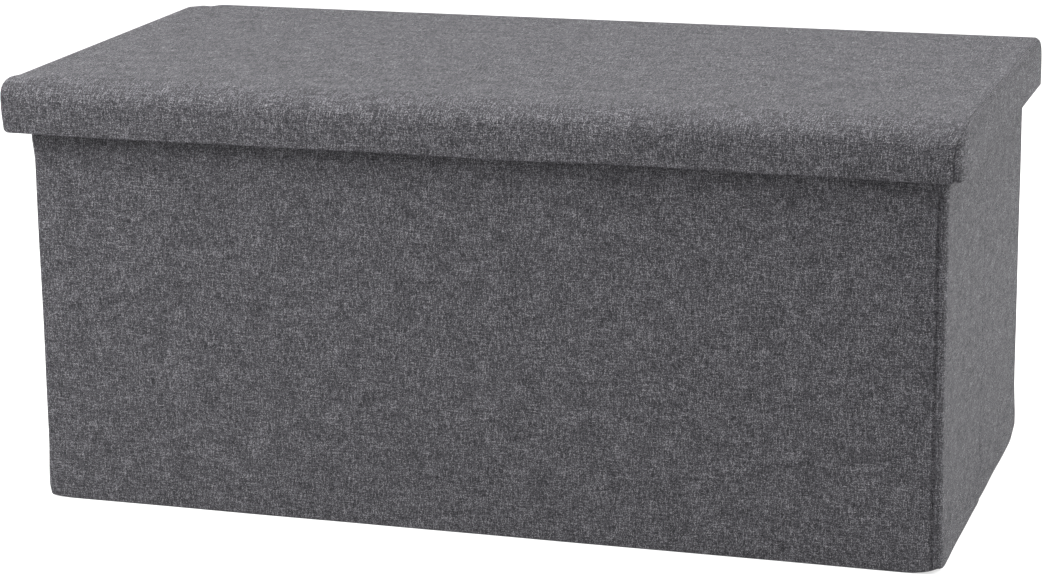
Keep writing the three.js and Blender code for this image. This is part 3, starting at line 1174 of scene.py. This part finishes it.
def build_inside():
    """The lid's lining tray, the slip over the base board and the base cloth"""
    tray = slab(
        "lid_tray_lining", TRAY_LOW, TRAY_HIGH - Vector((0, 0, 0.0002)), waist=TRAY_LOW.z,
        reach=(0.0030, 0.0030), corner=BOARD_ROUND, material=NON_WOVEN, open_below=True, wave=-0.0001,
    )
    thicken(tray, LINING)
    lining_piece(tray, "lid_lining", "lid")
    slip = slab(
        "base_board_pouch", SLIP_LOW, SLIP_HIGH, waist=(SLIP_LOW.z + SLIP_HIGH.z) / 2,
        reach=(0.0012, 0.0012), corner=0.003, material=NON_WOVEN, wave=0.0001,
    )
    lining_piece(slip, "base_board_slip", "back_and_base")
    ground = slab(
        "base_ground_cloth", BASE_LOW, BASE_HIGH, waist=(BASE_LOW.z + BASE_HIGH.z) / 2,
        reach=(0.0006, 0.0006), corner=0.020, material=NON_WOVEN,
    )
    lining_piece(ground, "base_cloth", "back_and_base")


# ---- Seams

def stitch_row(name, path, outward, body, length, gap):
    """A row of stitches along path: each is a short thread that bows outwards and dips in at both ends"""
    path, outward = np.asarray(path, float), np.asarray(outward, float)
    travelled = distance_along(path)
    grids = []
    start = gap
    while start + length < travelled[-1]:
        share = np.linspace(0, 1, 7)
        at = start + share * length
        centre = np.stack([np.interp(at, travelled, path[:, k]) for k in range(3)], 1)
        away = np.stack([np.interp(at, travelled, outward[:, k]) for k in range(3)], 1)
        away /= np.linalg.norm(away, axis=1)[:, None]
        run = np.gradient(centre, axis=0)
        run /= np.linalg.norm(run, axis=1)[:, None]
        beside = np.cross(run, away)
        centre += away * (THREAD_RISE * (np.sin(math.pi * share) ** 0.5 - 0.5))[:, None]
        girth = THREAD_RADIUS * (1 - (2 * share - 1) ** 4 * 0.98)
        spin = np.linspace(0, math.tau, 9)
        ring = np.cos(spin)[None, :, None] * away[:, None] + np.sin(spin)[None, :, None] * beside[:, None]
        points = centre[:, None] + ring * girth[:, None, None]
        coordinates = np.stack(np.broadcast_arrays(at[:, None], THREAD_RADIUS * spin[None, :]), -1)
        grids.append((points, coordinates))
        start += length + gap
    piece = grids_object(name, grids, THREAD)
    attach(piece, body)
    return piece


def build_stitches():
    for wall in WALLS[:2]:
        z = np.linspace(0.012, WALL_TOP - 0.02, 60)
        s = np.full(z.shape, wall.length / 2 - SEAM_INSET)
        outward = np.broadcast_to(-wall.inward, (len(z), 3))
        path = body_relief(wall.place(s, np.full(z.shape, SEAM_DEPTH - 0.0002), z), outward)
        row = stitch_row(
            f"{wall.prefix}_corner_stitches", path, outward, wall.body, length=0.0034, gap=0.0014,
        )
        fold_with_walls(row)
    for side, sign in (("left", -1), ("right", 1)):
        first = HEM_POINTS + 3
        outline = end_outline(sign, SEAM_ANGLE, 0.0005)[first:-first]
        outward = np.zeros(outline.shape)
        outward[:, 0] = math.sin(SEAM_ANGLE) * sign
        outward[:, 1:] = SECTION_NORMAL[first:-first] * math.cos(SEAM_ANGLE)
        path = lid_soft_shape(outline, SECTION_UP[first:-first])
        stitch_row(f"lid_{side}_end_stitches", path, outward, "lid", length=0.0042, gap=0.0022)


# ---- Camera, lights and floor

def build_camera():
    data = bpy.data.cameras.new("camera")
    data.lens = CAMERA_LENS
    data.sensor_width = 36.0
    data.clip_end = 30.0
    camera = bpy.data.objects.new("camera", data)
    bpy.context.scene.collection.objects.link(camera)
    azimuth, elevation, roll = (math.radians(angle) for angle in CAMERA_ANGLES)
    flat = math.cos(elevation)
    forward = -Vector((math.cos(azimuth) * flat, math.sin(azimuth) * flat, math.sin(elevation)))
    right = forward.cross(Vector((0, 0, 1))).normalized()
    up = right.cross(forward)
    turned_right = math.cos(roll) * right + math.sin(roll) * up
    turned_up = -math.sin(roll) * right + math.cos(roll) * up
    axes = Matrix((turned_right, turned_up, -forward)).transposed().to_4x4()
    camera.matrix_world = Matrix.Translation(CAMERA_PLACE) @ axes
    bpy.context.scene.camera = camera


def area_light(name, place, target, size, power):
    data = bpy.data.lights.new(name, "AREA")
    data.shape = "RECTANGLE"
    data.size, data.size_y = size
    data.energy = power
    light = bpy.data.objects.new(name, data)
    bpy.context.scene.collection.objects.link(light)
    light.location = place
    light.rotation_euler = (Vector(target) - Vector(place)).to_track_quat("-Z", "Y").to_euler()


def build_studio():
    world = bpy.data.worlds.new("studio")
    world.use_nodes = True
    world.node_tree.nodes["Background"].inputs["Color"].default_value = (1, 1, 1, 1)
    world.node_tree.nodes["Background"].inputs["Strength"].default_value = 1.0
    bpy.context.scene.world = world
    view = bpy.context.scene.view_settings
    view.view_transform = "Standard"
    view.look = "None"
    area_light("overhead softbox", place=(0.0, 0.0, 2.2), target=(0, 0, 0), size=(3.0, 2.4), power=80)
    area_light("left softbox", place=(-1.7, -1.1, 1.3), target=(-0.15, 0, 0.2), size=(0.9, 0.9), power=104)
    area_light("right softbox", place=(2.2, 0.5, 1.35), target=(0.35, 0, 0.2), size=(0.9, 0.9), power=66)
    size = 12.0
    floor = mesh_object(
        "floor", [(-size, -size, 0), (size, -size, 0), (size, size, 0), (-size, size, 0)], [(0, 1, 2, 3)],
        [(0, 0), (1, 0), (1, 1), (0, 1)], floor_material(),
    )
    floor.location.z = -0.0002


# ---- Build

def settle_lid():
    """The loose lid lies slightly to the left on the box, as far as its play inside the skirt allows"""
    for piece in bpy.data.objects:
        if piece.name.startswith("lid_") and piece.name not in frame["nodes"] and piece.type == "MESH":
            piece.data.transform(Matrix.Translation(LID_SHIFT))


def finish_cad_nodes():
    """Procedural materials on the CAD nodes that stay"""
    for name, node in frame["nodes"].items():
        if name.endswith("board"):
            material = HARDBOARD
        elif "lining" in name or name.startswith("base"):
            material = NON_WOVEN
        elif "foam" in name:
            material = FOAM
        else:
            material = MELANGE
        node.data.materials.clear()
        node.data.materials.append(material)


build_camera()
finish_cad_nodes()
build_walls()
build_hinges()
build_lid()
build_boards()
build_foam()
build_inside()
build_stitches()
settle_lid()
build_studio()
